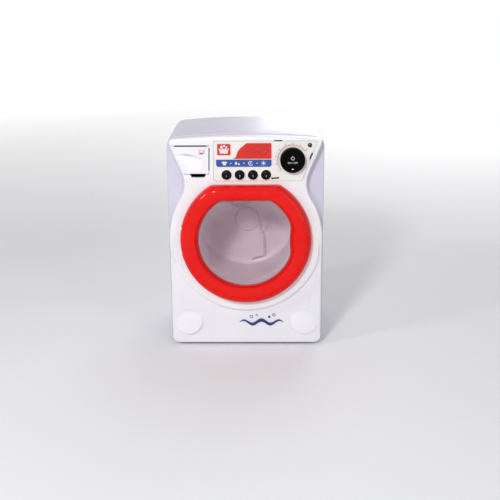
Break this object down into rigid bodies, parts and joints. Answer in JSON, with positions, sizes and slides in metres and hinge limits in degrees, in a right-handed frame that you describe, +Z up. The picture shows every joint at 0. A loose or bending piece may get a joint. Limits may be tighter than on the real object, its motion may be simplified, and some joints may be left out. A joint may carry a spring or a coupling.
{
  "type": "toy washing machine",
  "caption": "Toy front-loading washing machine with a hinged round door, geared drum, sliding detergent drawer, push buttons and a programme knob.",
  "frame": {"origin": "on the surface it stands on, under the middle of the whole toy, door included", "axes": "front faces -Y, +X to the right seen from the front, +Z up"},
  "size_m": [0.183, 0.16, 0.261],
  "materials": {
    "white_shell": "semi-gloss white plastic",
    "lavender_shell": "satin pale lavender-white plastic",
    "foot_rubber": "matte rubber",
    "cream_panel": "glossy cream plastic with a printed label",
    "black_button": "glossy black plastic",
    "pad_rubber": "soft grey rubber",
    "board": "green circuit board",
    "black_knob": "satin black plastic with white marks",
    "steel": "plain steel",
    "switch_blue": "blue moulded plastic",
    "led_red": "dark red translucent plastic",
    "speaker_black": "paper cone in a steel basket",
    "drum_white": "satin pale plastic",
    "bronze": "sintered bronze",
    "inner_white": "matte white plastic",
    "gear_white": "acetal, slightly waxy",
    "motor_can": "drawn steel can",
    "brass_pinion": "turned brass",
    "red_ring": "glossy red plastic",
    "clear_window": "clear plastic, faintly smoky",
    "red_inner": "satin red plastic",
    "cell_wrap": "plain printed sleeve, steel ends",
    "contact_steel": "nickel-plated spring steel"
  },
  "bodies": {
    "housing": {"front_shell": "white_shell", "rear_shell": "lavender_shell", "feet": "foot_rubber", "control_panel": "cream_panel", "drawer_housing": "inner_white", "button_pad": "pad_rubber", "control_board": "board", "rotary_switch": "switch_blue", "indicator_led": "led_red", "speaker": "speaker_black", "drum_bush": "bronze", "drum_bracket": "inner_white", "reduction_pin": "steel", "gear_cover": "inner_white", "motor_mount": "steel", "motor": "motor_can", "battery_box": "inner_white", "batteries": "cell_wrap", "battery_contacts": "contact_steel", "housing_screws": "steel", "board_screws": "steel", "gearbox_screws": "steel"},
    "door": {"door_ring": "red_ring", "door_window": "clear_window", "door_inner_ring": "red_inner", "door_hinge_pins": "steel", "door_screws": "steel"},
    "drawer": {"detergent_drawer": "white_shell"},
    "button_1_cap": {"button_1": "black_button"},
    "button_2_cap": {"button_2": "black_button"},
    "button_3_cap": {"button_3": "black_button"},
    "button_4_cap": {"button_4": "black_button"},
    "knob": {"selector_knob": "black_knob", "knob_shaft": "steel"},
    "drum_group": {"drum": "drum_white", "agitator": "drum_white", "hub_cap": "drum_white", "drum_shaft": "steel", "drum_gear": "gear_white"},
    "reduction": {"reduction_gear": "gear_white"},
    "pinion": {"motor_pinion": "brass_pinion", "motor_shaft": "steel"},
    "battery_door": {"battery_cover": "lavender_shell", "battery_cover_screw": "steel"}
  },
  "joints": [
    {"name": "door_hinge", "type": "hinge", "parent": "housing", "child": "door", "pos_m": [-0.073, -0.0716, 0.136], "axis": [0, 0, -1], "range_deg": [0, 100]},
    {"name": "drawer_slide", "type": "slide", "parent": "housing", "child": "drawer", "axis": [0, -1, 0], "range_m": [0, 0.03]},
    {"name": "knob_turn", "type": "hinge", "parent": "housing", "child": "knob", "pos_m": [0.0543, -0.066, 0.231], "axis": [0, -1, 0], "range_deg": [-58, 130]},
    {"name": "button_1_press", "type": "slide", "parent": "housing", "child": "button_1_cap", "axis": [0, 1, 0], "range_m": [0, 0.0015], "stiffness_N_per_m": 700},
    {"name": "button_2_press", "type": "slide", "parent": "housing", "child": "button_2_cap", "axis": [0, 1, 0], "range_m": [0, 0.0015], "stiffness_N_per_m": 700},
    {"name": "button_3_press", "type": "slide", "parent": "housing", "child": "button_3_cap", "axis": [0, 1, 0], "range_m": [0, 0.0015], "stiffness_N_per_m": 700},
    {"name": "button_4_press", "type": "slide", "parent": "housing", "child": "button_4_cap", "axis": [0, 1, 0], "range_m": [0, 0.0015], "stiffness_N_per_m": 700},
    {"name": "drum_spin", "type": "hinge", "parent": "housing", "child": "drum_group", "pos_m": [0, 0.027, 0.136], "axis": [0, -1, 0], "continuous": true},
    {"name": "reduction_spin", "type": "hinge", "parent": "housing", "child": "reduction", "pos_m": [-0.02425, 0.037, 0.15], "axis": [0, -1, 0], "continuous": true},
    {"name": "pinion_spin", "type": "hinge", "parent": "housing", "child": "pinion", "pos_m": [-0.04296, 0.037, 0.1608], "axis": [0, -1, 0], "continuous": true},
    {"name": "battery_cover_slide", "type": "slide", "parent": "housing", "child": "battery_door", "axis": [0, 1, 0], "range_m": [0, 0.012]}
  ],
  "couplings": [
    {"joint": "reduction_spin", "follows": "drum_spin", "ratio": -4},
    {"joint": "pinion_spin", "follows": "drum_spin", "ratio": 14}
  ]
}
